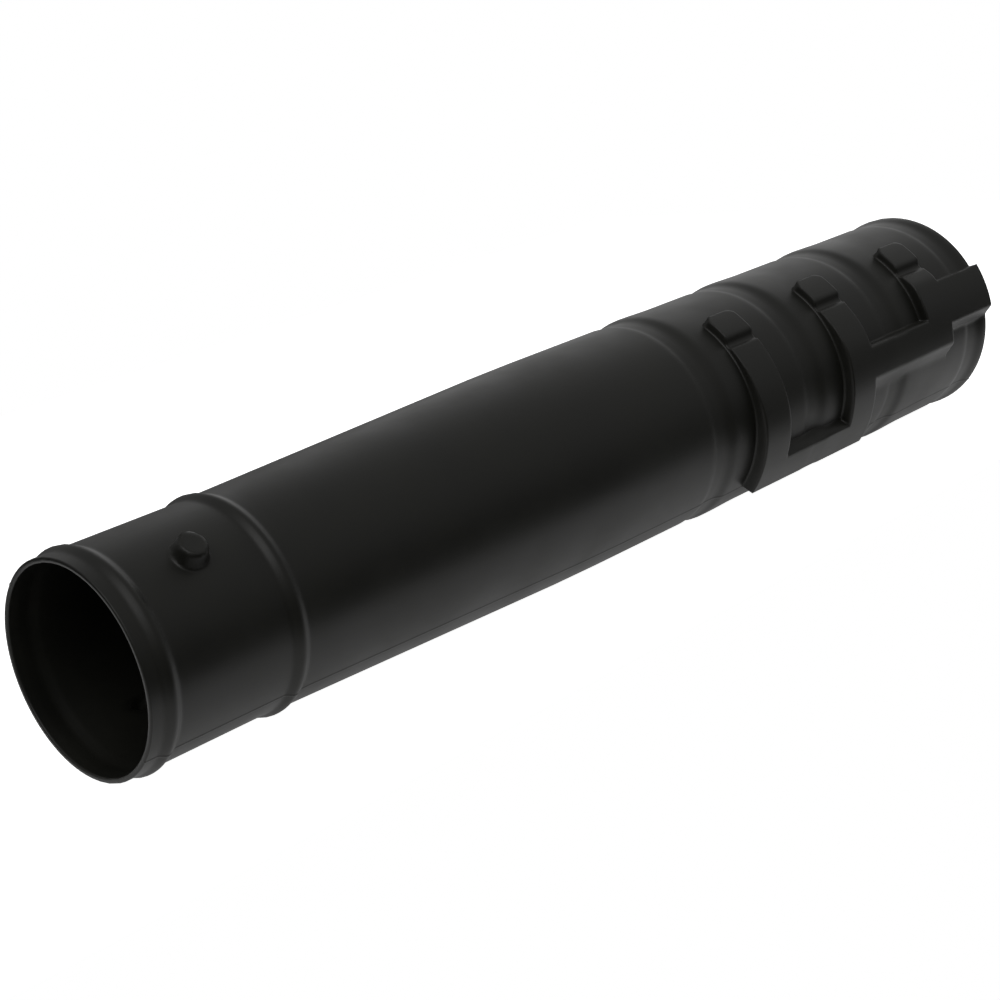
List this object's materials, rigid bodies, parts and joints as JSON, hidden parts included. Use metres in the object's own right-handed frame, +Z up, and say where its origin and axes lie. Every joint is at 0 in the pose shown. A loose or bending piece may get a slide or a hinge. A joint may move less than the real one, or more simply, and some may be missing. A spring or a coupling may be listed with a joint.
{
  "type": "leaf blower nozzle",
  "caption": "Blow-moulded tapered air tube with a beaded spigot and locking nubs at one end and a socket with stepped bayonet tracks at the other.",
  "frame": {"origin": "centre of the spigot mouth, on the tube's axis", "axes": "+X along the tube's axis from the spigot mouth to the socket mouth, +Z up with the tube lying at rest"},
  "size_m": [0.436, 0.09, 0.0826],
  "materials": {
    "black_moulded_plastic": "satin, as blown from the mould"
  },
  "bodies": {
    "root": {"nozzle_tube": "black_moulded_plastic"}
  },
  "joints": []
}
